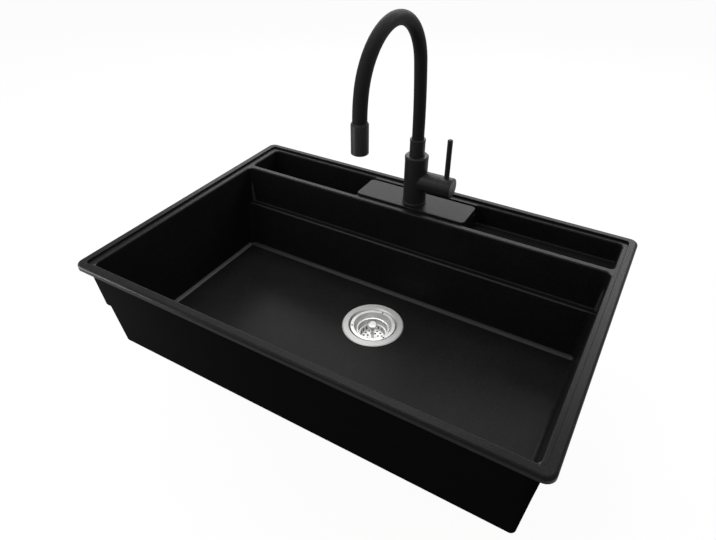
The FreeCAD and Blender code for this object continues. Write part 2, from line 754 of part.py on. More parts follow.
def make_basket():
    """The lift-out strainer basket with its knob and stopper."""
    gauge = "size.basket_gauge"
    steps = int(number("basket_steps"))
    tread = f"((size.basket_lip - size.basket_foot) / (2 * {steps}))"
    riser = f"(size.basket_depth / {steps})"
    outside = [("size.stem_radius", BASKET_FLOOR)]
    inside = [("size.stem_radius", f"{BASKET_FLOOR} + {gauge}")]
    # Each pressed step is a sloping wall and a tread, outside and inside one gauge apart.
    for step in range(steps):
        low = f"(size.basket_foot + {2 * step} * {tread})"
        level = f"({BASKET_FLOOR} + {step} * {riser})"
        outside.append((low, level))
        inside.append((f"{low} - {gauge}", f"{level} + {gauge}"))
        if step < steps - 1:
            outside.append((f"{low} + {tread}", f"{level} + {riser}"))
            inside.append((f"{low} + {tread} - {gauge}", f"{level} + {riser} + {gauge}"))
    outside.append((f"size.basket_lip + {gauge}", f"{BASKET_TOP} - {gauge}"))
    outside.append(("size.basket_radius", f"{BASKET_TOP} - {gauge}"))
    outside.append(("size.basket_radius", BASKET_TOP))
    inside.append(("size.basket_lip", BASKET_TOP))
    basket = turned("basket", outside + inside[::-1], **AT_DRAIN)
    slot = outline(basket, "slot_outline", "XZ_Plane", (
        ("-size.slot_width / 2", f"{BASKET_FLOOR} + size.slot_low"),
        ("size.slot_width / 2", f"{BASKET_FLOOR} + size.slot_low"),
        ("size.slot_width / 2", f"{BASKET_FLOOR} + {riser} - size.slot_high"),
        ("-size.slot_width / 2", f"{BASKET_FLOOR} + {riser} - size.slot_high"),
    ))
    cutter = pocket(basket, slot, "slot", "size.basket_radius + size.tool_over")
    pattern(basket, cutter, "slots", "size.slot_count")
    level = f"{BASKET_FLOOR} + {gauge}"
    rings = (
        ("inner", "size.hole_ring_inner", "size.basket_hole", level, "size.inner_hole_count"),
        ("outer", "size.hole_ring_outer", "size.basket_hole", level, "size.outer_hole_count"),
        ("rim", "size.rim_hole_ring", "size.rim_hole", BASKET_TOP, "size.rim_hole_count"),
    )
    for name, radius, size, level, count in rings:
        hole = circles(basket, f"{name}_hole_outline", level, (("0", radius, size),))
        drilled = pocket(basket, hole, f"{name}_hole", f"{gauge} + size.tool_over")
        pattern(basket, drilled, f"{name}_holes", count)
    node(basket, "basket")

    knob_top = f"({FLANGE_TOP} + size.knob_proud)"
    knob_low = f"({knob_top} - size.knob_height)"
    stem_top = f"({knob_low} + size.stem_grip)"
    web = f"{STOPPER} + size.stopper_web"
    stem = turned("basket_stem", (
        ("0", web),
        ("size.stem_radius", web),
        ("size.stem_radius", stem_top),
        ("0", stem_top),
    ), **AT_DRAIN)
    node(stem, "basket_stem")
    knob = turned("basket_knob", (
        ("size.stem_radius", knob_low),
        ("size.stem_radius + size.knob_neck", knob_low),
        ("size.knob_radius", f"{knob_low} + size.knob_flare"),
        ("size.knob_radius", f"{knob_low} + size.knob_flare + size.knob_band"),
        ("size.knob_radius - size.knob_ease", f"{knob_top} - size.knob_fall"),
        ("size.knob_radius - size.knob_crown", knob_top),
        ("0", knob_top),
        ("0", stem_top),
        ("size.stem_radius", stem_top),
    ), **AT_DRAIN)
    node(knob, "basket_knob")
    stopper = turned("basket_stopper", (
        ("0", STOPPER),
        ("size.stopper_radius - size.stopper_lead", STOPPER),
        ("size.stopper_radius", web),
        ("size.stopper_radius - size.stopper_taper", STOPPER_TOP),
        ("size.stem_radius", STOPPER_TOP),
        ("size.stem_radius", web),
        ("0", web),
    ), **AT_DRAIN)
    node(stopper, "basket_stopper")


def make_tap_foot():
    """The pieces that clamp the tap to the deck."""
    node(ring("base_seal", "size.shank_radius", "size.base_seal_radius", DECK, BASE, **AT_TAP),
         "base_seal")
    base = turned("base_ring", (
        ("size.shank_radius", BASE),
        ("size.base_radius", BASE),
        ("size.base_radius", f"{BODY} - size.base_bevel"),
        ("size.base_radius - size.base_bevel", BODY),
        ("size.shank_radius", BODY),
    ), **AT_TAP)
    node(base, "base_ring")
    plug = f"{BODY} + size.shank_grip - size.shank_plug"
    shank = turned("mounting_shank", (
        ("size.shank_bore", SHANK_END),
        ("size.shank_radius", SHANK_END),
        ("size.shank_radius", BODY),
        ("size.shank_socket", BODY),
        ("size.shank_socket", plug),
        ("size.shank_bore - size.shank_step", plug),
        ("size.shank_bore - size.shank_step", f"{SHANK_END} + size.inlet_block_height"),
        ("size.shank_bore", f"{SHANK_END} + size.inlet_block_height"),
    ), **AT_TAP)
    node(shank, "mounting_shank")
    block = new_body("inlet_block", **AT_TAP)
    disc = circles(block, "inlet_disc", SHANK_END, (("0", "0", "size.shank_bore"),))
    pad(block, disc, "inlet_body", "size.inlet_block_height")
    ports = circles(block, "inlet_ports", f"{SHANK_END} + size.inlet_block_height", (
        ("-size.inlet_spacing", "0", "size.inlet_radius"),
        ("size.inlet_spacing", "0", "size.inlet_radius"),
    ))
    pocket(block, ports, "inlets", "size.inlet_block_height + size.tool_over")
    node(block, "inlet_block")
    node(ring("clamp_seal", "size.shank_radius", "size.clamp_radius - size.clamp_seal_inset", CLAMP,
              UNDERDECK, **AT_TAP), "clamp_seal")
    node(ring("clamp_plate", "size.shank_radius", "size.clamp_radius", CLAMP_END, CLAMP, **AT_TAP),
         "clamp_plate")
    low = f"{CLAMP_END} - size.fixing_nut_height"
    nut = primitive("Prism", "fixing_nut_blank", ("0", TAP, low), Polygon="size.fixing_side_count",
                    Circumradius="size.fixing_nut_radius", Height="size.fixing_nut_height")
    bored = primitive("Cylinder", "fixing_nut_bore", ("0", TAP, f"{low} - size.tool_over"),
                      Radius="size.shank_radius",
                      Height="size.fixing_nut_height + 2 * size.tool_over")
    node(cut("fixing_nut", nut, bored), "fixing_nut")


def make_tap_body():
    """The cast body with the cartridge barrel, and the fixed pieces inside it."""
    pivot = ("size.pivot_reach", TAP, BARREL)
    band_low = f"({BODY_TOP} - size.band_height)"
    column = primitive("Cylinder", "body_column", ("0", TAP, BODY),
                       Radius="size.body_radius", Height=f"{band_low} - {BODY}")
    barrel = primitive("Cylinder", "body_barrel", ("0", TAP, BARREL), ALONG_X,
                       Radius="size.barrel_radius", Height="size.pivot_reach")
    nose = primitive("Cylinder", "body_nose", pivot, ALONG_X, Radius="size.barrel_radius",
                     Height="size.ball_radius")
    ball = primitive("Sphere", "body_ball", pivot, Radius="size.ball_radius")
    dome = doc.addObject("Part::Common", "body_dome")
    dome.Base = nose
    dome.Tool = ball
    band = turned("body_band", (
        ("0", band_low),
        ("size.band_radius", band_low),
        ("size.band_radius", f"{BODY_TOP} - size.band_bevel"),
        ("size.band_radius - size.band_bevel", BODY_TOP),
        ("0", BODY_TOP),
    ), **AT_TAP)
    casting = joined("body_casting", column, barrel, dome, band)
    bore = primitive("Cylinder", "body_bore_tool", ("0", TAP, f"{BODY} - size.tool_over"),
                     Radius="size.body_bore", Height=f"{BODY_TOP} - {BODY} + 2 * size.tool_over")
    socket = primitive("Cylinder", "body_socket_tool", ("0", TAP, f"{BODY} - size.tool_over"),
                       Radius="size.shank_socket", Height="size.shank_grip + size.tool_over")
    side = primitive("Cylinder", "barrel_bore_tool", ("0", TAP, BARREL), ALONG_X,
                     Radius="size.barrel_bore", Height="size.pivot_reach + size.ball_radius")
    node(cut("tap_body", casting, bore, socket, side), "tap_body")

    cartridge = turned("cartridge", (
        ("size.cartridge_eye", "size.cartridge_start"),
        ("size.barrel_bore", "size.cartridge_start"),
        ("size.barrel_bore", CARTRIDGE_FACE),
        ("size.cartridge_eye", CARTRIDGE_FACE),
    ), **AT_BARREL)
    node(cartridge, "cartridge")
    node(ring("cartridge_nut", "size.cartridge_nut_bore", "size.barrel_bore", CARTRIDGE_FACE,
              "size.cartridge_end", **AT_BARREL), "cartridge_nut")
    node(ring("swivel_bush", "size.bush_radius", "size.body_bore", f"{BODY_TOP} - size.bush_length",
              BODY_TOP, **AT_TAP), "swivel_bush")


def make_lever():
    """The cartridge rotor that turns, and the lever that tilts in it."""
    pivot = ("size.pivot_reach", TAP, BARREL)
    tail = f"({CARTRIDGE_FACE} + size.rotor_gap)"
    tongue = "(size.pivot_reach + size.rotor_front)"
    blank = primitive("Cylinder", "rotor_blank", (tail, TAP, BARREL), ALONG_X,
                      Radius="size.rotor_radius", Height=f"{tongue} - {tail}")
    slot_tail = "(size.pivot_reach - size.stem_tail - size.slot_room)"
    slot = primitive("Box", "rotor_slot_tool",
                     (slot_tail, f"{TAP} - size.rotor_slot / 2", f"{BARREL} - size.barrel_radius"),
                     Length="size.barrel_radius", Width="size.rotor_slot",
                     Height="2 * size.barrel_radius")
    across = ("size.pivot_reach", f"{TAP} - size.barrel_radius", BARREL)
    hole = primitive("Cylinder", "rotor_pin_hole", across, ALONG_Y, Radius="size.pin_radius",
                     Height="2 * size.barrel_radius")
    node(cut("cartridge_rotor", blank, slot, hole), "cartridge_rotor")
    pin = primitive("Cylinder", "rotor_pin", ("size.pivot_reach",
                    f"{TAP} - size.pin_half", BARREL), ALONG_Y, Radius="size.pin_radius",
                    Height="2 * size.pin_half")
    node(pin, "rotor_pin")

    stem = primitive("Cylinder", "lever_stem_blank",
                     ("size.pivot_reach - size.stem_tail", TAP, BARREL), ALONG_X,
                     Radius="size.lever_stem",
                     Height="size.stem_stop - size.pivot_reach + size.stem_tail")
    eye = primitive("Cylinder", "lever_stem_eye", across, ALONG_Y,
                    Radius="size.pin_radius + size.pin_gap", Height="2 * size.barrel_radius")
    node(cut("lever_stem", stem, eye), "lever_stem")

    shell = turned("lever_cap_blank", (
        ("0", "size.pivot_reach"),
        ("size.barrel_radius", "size.pivot_reach"),
        ("size.barrel_radius", "size.lever_end - size.cap_round"),
        ("size.barrel_radius - size.cap_round", "size.lever_end"),
        ("0", "size.lever_end"),
    ), **AT_BARREL)
    ball = primitive("Sphere", "lever_cap_ball", pivot, Radius="size.ball_radius + size.ball_gap")
    socket = primitive("Cylinder", "lever_cap_socket",
                       ("size.pivot_reach", TAP, BARREL), ALONG_X,
                       Radius="size.lever_stem", Height="size.stem_stop - size.pivot_reach")
    grub_hole = primitive("Cylinder", "lever_cap_grub_hole",
                          ("size.grub_reach", TAP, f"{BARREL} - size.ball_radius"),
                          Radius="size.grub_radius", Height="size.ball_radius - size.lever_stem")
    rod_low = "(size.barrel_radius - size.rod_grip)"
    rod_top = "(size.rod_top - size.barrel_height)"
    foot = {"x": "size.rod_reach", "y": TAP, "z": BARREL}
    grip = turned("lever_cap_grip", (
        ("0", rod_low),
        ("size.rod_radius", rod_low),
        ("size.rod_radius", rod_top),
        ("0", rod_top),
    ), **foot)
    node(cut("lever_cap", shell, ball, socket, grub_hole, grip), "lever_cap")
    rod = turned("lever_rod", (
        ("0", rod_low),
        ("size.rod_radius", rod_low),
        ("size.rod_radius", f"{rod_top} - size.rod_round"),
        ("size.rod_radius - size.rod_round", rod_top),
        ("0", rod_top),
    ), **foot)
    node(rod, "lever_rod")
    grub = primitive("Cylinder", "lever_grub", ("size.grub_reach", TAP,
                     f"{BARREL} - size.barrel_radius + size.grub_sink"), Radius="size.grub_radius",
                     Height="size.barrel_radius - size.grub_sink - size.lever_stem")
    node(grub, "lever_grub")


def hose(name, outer, inner):
    """A tube swept along the gooseneck, straight up, over and down to the nozzle."""
    body = new_body(name)
    spine = new_sketch(body, f"{name}_spine", "YZ_Plane", "0")
    start = Vector(tap_axis(), number("rim_thick") + number("body_height") + number("collar_height")
                   - number("collar_socket"))
    rise = Vector(start.x, number("rim_thick") + number("hose_rise"))
    lean = math.radians(number("lean_angle"))
    over = lean + math.radians(number("arch_angle"))
    turns = (0.0, lean, over, math.pi)
    # The radius of the middle arc that lands the end at the reach.
    first_radius = number("hose_lean_radius")
    last_radius = number("hose_drop_radius")
    gain = number("reach") - first_radius * (1 - math.cos(lean)) - last_radius * (1 + math.cos(over))
    radii = (first_radius, gain / (math.cos(lean) - math.cos(over)), last_radius)
    sketch_arcs = []
    point = rise
    for radius, first, last in zip(radii, turns, turns[1:]):
        centre = Vector(point.x - radius * math.cos(first), point.y - radius * math.sin(first))
        sketch_arcs.append((centre, radius, first, last))
        point = Vector(centre.x + radius * math.cos(last), centre.y + radius * math.sin(last))
    end = Vector(point.x, number("rim_thick") + number("nozzle_top") - number("nozzle_socket"))
    spine.addGeometry(Part.LineSegment(start, rise), False)
    for centre, radius, first, last in sketch_arcs:
        circle = Part.Circle(centre, Vector(0, 0, 1), radius)
        spine.addGeometry(Part.ArcOfCircle(circle, first, last), False)
    spine.addGeometry(Part.LineSegment(point, end), False)
    spine.addConstraint([
        Sketcher.Constraint("Vertical", 0),
        Sketcher.Constraint("Tangent", 0, 2, 1, 1),
        Sketcher.Constraint("Tangent", 1, 2, 2, 1),
        Sketcher.Constraint("Tangent", 2, 2, 3, 1),
        Sketcher.Constraint("Tangent", 3, 2, 4, 1),
        Sketcher.Constraint("Vertical", 4),
    ])
    dimension(spine, "start_across", TAP, "DistanceX", -1, 1, 0, 1, start.x)
    dimension(spine, "start_up", f"{COLLAR_TOP} - size.collar_socket", "DistanceY", -1, 1, 0, 1,
              start.y)
    dimension(spine, "rise_up", f"{DECK} + size.hose_rise", "DistanceY", -1, 1, 0, 2, rise.y)
    dimension(spine, "lean_radius", "size.hose_lean_radius", "Radius", 1, radii[0])
    dimension(spine, "drop_radius", "size.hose_drop_radius", "Radius", 3, radii[2])
    dimension(spine, "lean_turn", "size.lean_angle", "Angle", 1, lean)
    dimension(spine, "arch_turn", "size.arch_angle", "Angle", 2, over - lean)
    dimension(spine, "end_across", f"{TAP} - size.reach", "DistanceX", -1, 1, 4, 2, end.x)
    dimension(spine, "end_up", f"{NOZZLE_TOP} - size.nozzle_socket", "DistanceY", -1, 1, 4, 2,
              end.y)
    section = circles(body, f"{name}_section", f"{COLLAR_TOP} - size.collar_socket", (
        ("0", TAP, outer),
        ("0", TAP, inner),
    ))
    sweep = body.newObject("PartDesign::AdditivePipe", f"{name}_sweep")
    sweep.Profile = section
    sweep.Spine = (spine, ["Edge1", "Edge2", "Edge3", "Edge4", "Edge5"])
    doc.recompute()
    return body


def make_spout():
    """The swivelling spout: collar, hose and nozzle."""
    groove_top = f"({BODY_TOP} - size.ring_depth + size.ring_half)"
    groove_low = f"({BODY_TOP} - size.ring_depth - size.ring_half)"
    clip_top = f"({BODY_TOP} - size.clip_depth)"
    clip_low = f"({clip_top} - size.clip_thick)"
    socket_low = f"({COLLAR_TOP} - size.collar_socket)"
    collar = turned("spout_collar", (
        ("size.spigot_bore", f"{BODY_TOP} - size.spigot_length"),
        ("size.spigot_radius", f"{BODY_TOP} - size.spigot_length"),
        ("size.spigot_radius", clip_low),
        ("size.clip_groove", clip_low),
        ("size.clip_groove", clip_top),
        ("size.spigot_radius", clip_top),
        ("size.spigot_radius", groove_low),
        ("size.ring_groove", groove_low),
        ("size.ring_groove", groove_top),
        ("size.spigot_radius", groove_top),
        ("size.spigot_radius", COLLAR),
        ("size.neck_radius", COLLAR),
        ("size.neck_radius", f"{COLLAR_TOP} - size.ferrule_height"),
        ("size.collar_radius", f"{COLLAR_TOP} - size.ferrule_height"),
        ("size.collar_radius", f"{COLLAR_TOP} - size.collar_bevel"),
        ("size.collar_radius - size.collar_bevel", COLLAR_TOP),
        ("size.hose_radius", COLLAR_TOP),
        ("size.hose_radius", socket_low),
        ("size.spigot_bore", socket_low),
    ), **AT_TAP)
    node(collar, "spout_collar")
    o_ring = primitive("Torus", "swivel_o_ring", ("0", TAP,
                       f"{BODY_TOP} - size.ring_depth"), Radius1="size.ring_groove + "
                       "size.ring_section", Radius2="size.ring_section")
    node(o_ring, "swivel_o_ring")
    node(ring("swivel_clip", "size.clip_groove", "size.clip_radius", clip_low, clip_top, **AT_TAP),
         "swivel_clip")
    node(hose("hose_sleeve", "size.hose_radius", "size.hose_bore"), "hose_sleeve")
    node(hose("hose_tube", "size.hose_bore", "size.tube_bore"), "hose_tube")

    nozzle_floor = f"({NOZZLE_END} + size.nozzle_cavity)"
    nozzle = turned("nozzle_shell", (
        ("size.nozzle_bore", NOZZLE_END),
        ("size.nozzle_radius - size.nozzle_round", NOZZLE_END),
        ("size.nozzle_radius", f"{NOZZLE_END} + size.nozzle_round"),
        ("size.nozzle_radius", f"{NOZZLE_TOP} - size.shoulder_height"),
        ("size.nozzle_radius - size.shoulder_in", NOZZLE_TOP),
        ("size.hose_radius", NOZZLE_TOP),
        ("size.hose_radius", f"{NOZZLE_TOP} - size.nozzle_socket"),
        ("size.tube_bore", f"{NOZZLE_TOP} - size.nozzle_socket"),
        ("size.tube_bore", nozzle_floor),
        ("size.nozzle_bore", nozzle_floor),
    ), **AT_NOZZLE)
    node(nozzle, "nozzle_shell")
    insert_low = f"({NOZZLE_END} + size.aerator_inset)"
    housing_low = f"({NOZZLE_END} + size.housing_inset)"
    node(ring("aerator_housing", "size.aerator_radius", "size.nozzle_bore", housing_low, nozzle_floor,
              **AT_NOZZLE), "aerator_housing")
    insert = new_body("aerator_insert", **AT_NOZZLE)
    disc = circles(insert, "aerator_disc", insert_low, (("0", "0", "size.aerator_radius"),))
    pad(insert, disc, "aerator_body", "size.aerator_height")
    jet = circles(insert, "jet_outline", f"{insert_low} + size.aerator_height",
                  (("size.jet_ring", "0", "size.jet_radius"),))
    drilled = pocket(insert, jet, "jet", "size.aerator_height + size.tool_over")
    pattern(insert, drilled, "jets", "size.jet_count")
    node(insert, "aerator_insert")


make_basin()
make_drain()
make_basket()
make_tap_foot()
make_tap_body()
make_lever()
make_spout()
doc.recompute()

faults = []
for item in doc.Objects:
    if "Invalid" in item.State or "Error" in item.State:
        faults.append(f"{item.Name} is {item.State}")
for name, item in NODES:
    shape = item.Shape
    if shape.isNull() or not shape.isValid() or len(shape.Solids) != 1 or shape.Volume <= 0:
        faults.append(f"{name} has no single valid solid")
if faults:
    raise RuntimeError("; ".join(faults))

os.makedirs("parts", exist_ok=True)
for name, item in NODES:
    item.Shape.exportStep(f"parts/{name}.step")
print(f"{len(NODES)} pieces written")
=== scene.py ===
"""Finishes, hose, threads and studio for a black stone-composite kitchen sink with a hose-spout tap.

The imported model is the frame. Its nodes keep their shapes and get their finishes here. The hose and
the screw threads are new pieces. Every length is in metres.
"""

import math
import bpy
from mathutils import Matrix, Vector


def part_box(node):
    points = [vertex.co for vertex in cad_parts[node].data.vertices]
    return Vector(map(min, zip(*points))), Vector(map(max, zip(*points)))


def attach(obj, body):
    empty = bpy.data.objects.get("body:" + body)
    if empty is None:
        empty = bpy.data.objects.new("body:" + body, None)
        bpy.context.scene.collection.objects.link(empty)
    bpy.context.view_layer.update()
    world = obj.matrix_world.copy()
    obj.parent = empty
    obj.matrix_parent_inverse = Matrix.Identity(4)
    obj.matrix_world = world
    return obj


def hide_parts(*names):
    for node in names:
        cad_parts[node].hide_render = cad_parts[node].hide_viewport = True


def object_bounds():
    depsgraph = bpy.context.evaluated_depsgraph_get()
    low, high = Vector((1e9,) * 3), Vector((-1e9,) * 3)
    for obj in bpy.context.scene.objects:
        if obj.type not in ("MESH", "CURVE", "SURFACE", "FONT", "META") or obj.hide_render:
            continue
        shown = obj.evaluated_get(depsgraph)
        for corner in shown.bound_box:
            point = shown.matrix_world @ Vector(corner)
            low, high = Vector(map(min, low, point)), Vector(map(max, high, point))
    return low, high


bl_info = {
    "name": "Granite sink looks",
    "version": (1, 0, 0),
    "blender": (4, 5, 0),
    "location": "3D View > Sidebar > Sink",
    "description": "Finishes, hose, threads and studio for a stone sink with its tap and strainer",
    "category": "Object",
}

import bpy
from bpy.props import FloatProperty, FloatVectorProperty, PointerProperty
from bpy.types import Operator, Panel, PropertyGroup
from mathutils import Matrix, Vector

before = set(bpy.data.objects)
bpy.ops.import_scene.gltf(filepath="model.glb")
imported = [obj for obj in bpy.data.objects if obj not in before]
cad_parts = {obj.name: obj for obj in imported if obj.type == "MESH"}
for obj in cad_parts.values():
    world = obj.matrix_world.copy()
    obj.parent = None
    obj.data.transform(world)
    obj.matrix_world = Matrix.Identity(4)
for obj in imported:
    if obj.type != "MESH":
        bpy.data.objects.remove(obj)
CAD_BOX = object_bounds()


def middle(node):
    """The middle of a node's box."""
    low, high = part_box(node)
    return (low + high) / 2


TAP_AXIS = middle("base_ring").to_2d()
DRAIN_AXIS = middle("drain_cup").to_2d()

STONE_NODES = ("basin",)
COATED_NODES = ("base_ring", "tap_body", "spout_collar", "nozzle_shell", "lever_cap", "lever_rod")
FLANGE_NODES = ("drain_cup",)
BASKET_NODES = ("basket", "basket_stem", "basket_knob")
BRASS_NODES = ("mounting_shank", "inlet_block", "cartridge_nut", "fixing_nut")
PLATED_NODES = ("clamp_plate", "lever_stem", "lever_grub", "rotor_pin", "swivel_clip")
RUBBER_NODES = ("flange_seal", "drain_gasket", "base_seal", "clamp_seal", "swivel_o_ring", "basket_stopper")
DARK_PLASTIC_NODES = ("drain_lock_nut", "aerator_housing", "cartridge", "swivel_bush")
PALE_PLASTIC_NODES = ("cartridge_rotor", "aerator_insert", "backing_ring")
TUBE_NODES = ("hose_tube",)

# The bowl's inside in the frame: its levels, its mouth, how its walls slope and its shelf.
BOWL_TOP, SHELF_LEVEL, FLOOR_LEVEL = 0.006, -0.070, -0.164
MOUTH_LEFT, MOUTH_RIGHT, MOUTH_FRONT, MOUTH_BACK = -0.3635, 0.3685, -0.249, 0.151
LEFT_SLOPE, WALL_SLOPE = 0.05, 0.0524
RIGHT_LOWER_SLOPE, BACK_LOWER_SLOPE = 0.0274, 0.1444
SHELF_WIDTH = 0.0115
SHELF_LIPS = (0.1355, -0.2335)
SHELF_ROOTS = (0.147, -0.245)

# The painted edge highlights: how far they reach, and how bright the long ones and the shelf's are beside the left
# end's.
EDGE_REACH, LIP_HALF, ROOT_HALF = 0.0056, 0.0016, 0.0014
WALL_SLACK = 0.0006
SIDE_SHARE, SHELF_SHARE = 0.42, 0.35

# The outside skin starts just under the worktop plane, where a face looks away from the bowl by more than this.
SKIN_TOP, SKIN_FACING = -0.0005, 0.2

# Threaded cylinders of the frame, and how much of each the thread leaves bare.
OUTLET_RADIUS, CUP_RADIUS, SHANK_RADIUS = 0.0239, 0.044, 0.017
OUTLET_LENGTH, OUTLET_THREADED = 0.032, 0.026
THREAD_START, CUP_START = 0.002, 0.004
CUP_NUT_GAP, SHANK_NUT_GAP = 0.001, 0.0005
RIDGE_SHARE = 0.34

NOZZLE_SOCKET = 0.012
HOSE_STEP = 0.003

# Each lamp's name, place and size. Its power is the studio's value of that name.
LAMPS = (
    ("back", (-0.6, 1.55, 0.95), (2.4, 0.6)),
    ("right", (0.5, 1.5, 1.25), (0.6, 0.7)),
    ("high", (-0.6, 0.85, 2.15), (1.0, 0.5)),
    ("front", (-0.7, -1.2, 1.4), (0.7, 0.7)),
    ("top", (0.0, 0.0, 1.7), (1.4, 1.1)),
    ("side", (-1.6, -0.5, 0.9), (0.8, 1.2)),
    ("low", (-0.52, -0.43, -0.03), (0.25, 0.15)),
)
LAMP_SIGHT = Vector((0, 0.02, -0.03))
WHITE = (1.0, 1.0, 1.0, 1.0)
FLOOR_HALF, FLOOR_GAP = 6.0, 0.0005
FLOOR_BOUNCE = (0.35, 0.35, 0.35, 1.0)
FLOOR_GLOW = 0.955
SKY_LIGHT = 0.32


def colour(name, description, default):
    """A colour that a user may change."""
    return FloatVectorProperty(name=name, description=description, subtype="COLOR", size=3, min=0.0, max=1.0,
                               default=default)


def length(name, description, default, low=0.0, high=2.0):
    """A length that a user may change."""
    return FloatProperty(name=name, description=description, subtype="DISTANCE", unit="LENGTH", min=low, max=high,
                         default=default, precision=4)


def angle(name, description, degrees):
    """An angle that a user may change."""
    return FloatProperty(name=name, description=description, subtype="ANGLE", default=math.radians(degrees))


def power(name, description, default):
    """A lamp's power that a user may change."""
    return FloatProperty(name=name, description=description, subtype="POWER", default=default)


class SinkFinishes(PropertyGroup):
    """Colours and grain of the sink's materials."""

    stone: colour("Stone", "Resin and dark sand of the basin", (0.006, 0.006, 0.0063))
    stone_pale: colour("Pale grain", "Paler sand in the basin's skin", (0.03, 0.03, 0.031))
    # Painted highlight: a paler stone colour along the bowl's rounded inner edges, standing in for the light those
    # edges catch
    stone_edge_highlight: colour("Painted edge highlight", "Paler stone along the bowl's rounded inner edges", (0.085, 0.085, 0.086))
    grain: length("Grain", "Size of the sand grains", 0.0011, 0.0002, 0.01)
    coat: colour("Black coat", "Satin coat of the tap", (0.012, 0.012, 0.0124))
    hose: colour("Hose", "Silicone of the hose", (0.008, 0.008, 0.0082))
    steel: colour("Steel", "Brushed stainless steel of the strainer's flange", (0.4, 0.4, 0.395))
    bright_steel: colour("Bright steel", "Polished stainless steel of the basket", (0.74, 0.74, 0.73))
    brass: colour("Brass", "Brass of the tap's shank", (0.62, 0.43, 0.2))
    plated: colour("Plated steel", "Zinc-plated fixings", (0.5, 0.51, 0.53))
    rubber: colour("Rubber", "Seals and stopper", (0.018, 0.018, 0.018))
    dark_plastic: colour("Dark plastic", "Nut, bush, cartridge and aerator housing", (0.02, 0.02, 0.021))
    pale_plastic: colour("Pale plastic", "Rotor, aerator insert and backing ring", (0.72, 0.71, 0.68))
    tube: colour("Water tube", "Tube inside the hose", (0.66, 0.67, 0.66))


class SinkSizes(PropertyGroup):
    """Sizes of the pieces that are added to the frame."""

    hose_radius: length("Hose radius", "Outside radius of the hose", 0.01085, 0.004, 0.03)
    hose_rise: length("Hose rise", "Height where the hose starts to bend", 0.146, 0.1, 0.4)
    lean_radius: length("Lean radius", "Radius of the hose's first slow bend", 0.95, 0.05, 2.0)
    drop_radius: length("Drop radius", "Radius of the hose's last bend", 0.185, 0.05, 2.0)
    lean_angle: angle("Lean", "Turn of the first bend", 7.6)
    arch_angle: angle("Arch", "Turn of the arch", 159.7)
    outlet_pitch: length("Outlet pitch", "Thread pitch of the waste outlet", 0.0023, 0.0005, 0.01)
    cup_pitch: length("Cup pitch", "Thread pitch of the strainer cup", 0.0025, 0.0005, 0.01)
    shank_pitch: length("Shank pitch", "Thread pitch of the tap's shank", 0.0015, 0.0005, 0.01)


class SinkStudio(PropertyGroup):
    """Camera, floor and lamps."""

    camera_place: FloatVectorProperty(name="Camera", description="Where the camera stands", subtype="TRANSLATION",
                                      unit="LENGTH", size=3, default=(0.3846, -0.6632, 0.5533))
    yaw: angle("Yaw", "Camera turn to the left", 30.75)
    pitch: angle("Pitch", "Camera tilt down", 37.187)
    roll: angle("Roll", "Camera roll", -0.348)
    lens: FloatProperty(name="Lens", description="Focal length on a 36 mm sensor", subtype="DISTANCE_CAMERA",
                        default=28.436)
    floor: colour("Floor", "Pale studio floor", (0.95, 0.95, 0.95))
    back_lamp: power("Back lamp", "Power of the soft lamp behind the sink", 27.0)
    right_lamp: power("Right lamp", "Power of the soft lamp behind on the right", 9.0)
    high_lamp: power("High lamp", "Power of the soft lamp high behind the sink", 23.0)
    top_lamp: power("Top lamp", "Power of the soft lamp overhead", 5.0)
    front_lamp: power("Front lamp", "Power of the soft lamp at the front left", 8.0)
    side_lamp: power("Side lamp", "Power of the soft lamp on the left", 4.0)
    low_lamp: power("Low lamp", "Power of the small lamp under the rim's level at the left", 1.6)


class Wire:
    """A socket in a node tree. The usual operators add Math nodes, and add() adds any other node."""

    def __init__(self, tree, socket=None):
        self.tree = tree
        self.socket = socket

    def add(self, kind, settings=None, feeds=None, out=0):
        """A node of a kind: its settings first, then values or links for its sockets."""
        node = self.tree.nodes.new(kind)
        for key, value in (settings or {}).items():
            setattr(node, key, value)
        for key, value in (feeds or {}).items():
            if isinstance(value, Wire):
                self.tree.links.new(value.socket, node.inputs[key])
            else:
                node.inputs[key].default_value = value
        return Wire(self.tree, node.outputs[out] if len(node.outputs) else None)

    def maths(self, operation, first, second):
        """One Math node."""
        return self.add("ShaderNodeMath", {"operation": operation}, {0: first, 1: second})

    def __add__(self, other):
        return self.maths("ADD", self, other)

    def __radd__(self, other):
        return self.maths("ADD", other, self)

    def __sub__(self, other):
        return self.maths("SUBTRACT", self, other)

    def __rsub__(self, other):
        return self.maths("SUBTRACT", other, self)

    def __mul__(self, other):
        return self.maths("MULTIPLY", self, other)

    def __pow__(self, other):
        return self.maths("POWER", self, other)

    def __gt__(self, other):
        return self.maths("GREATER_THAN", self, other)

    def __lt__(self, other):
        return self.maths("LESS_THAN", self, other)

    def least(self, other):
        """The smaller of two values."""
        return self.maths("MINIMUM", self, other)

    def most(self, other):
        """The larger of two values."""
        return self.maths("MAXIMUM", self, other)

    def size(self):
        """The value without its sign."""
        return self.maths("ABSOLUTE", self, 0.0)

    def parts(self):
        """The three parts of a vector."""
        split = self.add("ShaderNodeSeparateXYZ", None, {"Vector": self}).socket.node
        return [Wire(self.tree, socket) for socket in split.outputs]

    def mixed(self, first, second):
        """Two colours mixed by this value."""
        return self.add("ShaderNodeMix", {"data_type": "RGBA"}, {0: self, 6: first, 7: second}, out=2)

    def noise(self, place, size, detail=3.0):
        """Noise whose lumps are about that size."""
        return self.add("ShaderNodeTexNoise", None, {"Vector": place, "Scale": 1.0 / size, "Detail": detail})

    def bump(self, height, depth, strength=1.0):
        """A normal from a height of 0 to 1 over that depth."""
        return self.add("ShaderNodeBump", None, {"Height": height, "Distance": depth, "Strength": strength})


def rgba(values):
    """A colour property as four numbers."""
    return (*values, 1.0)


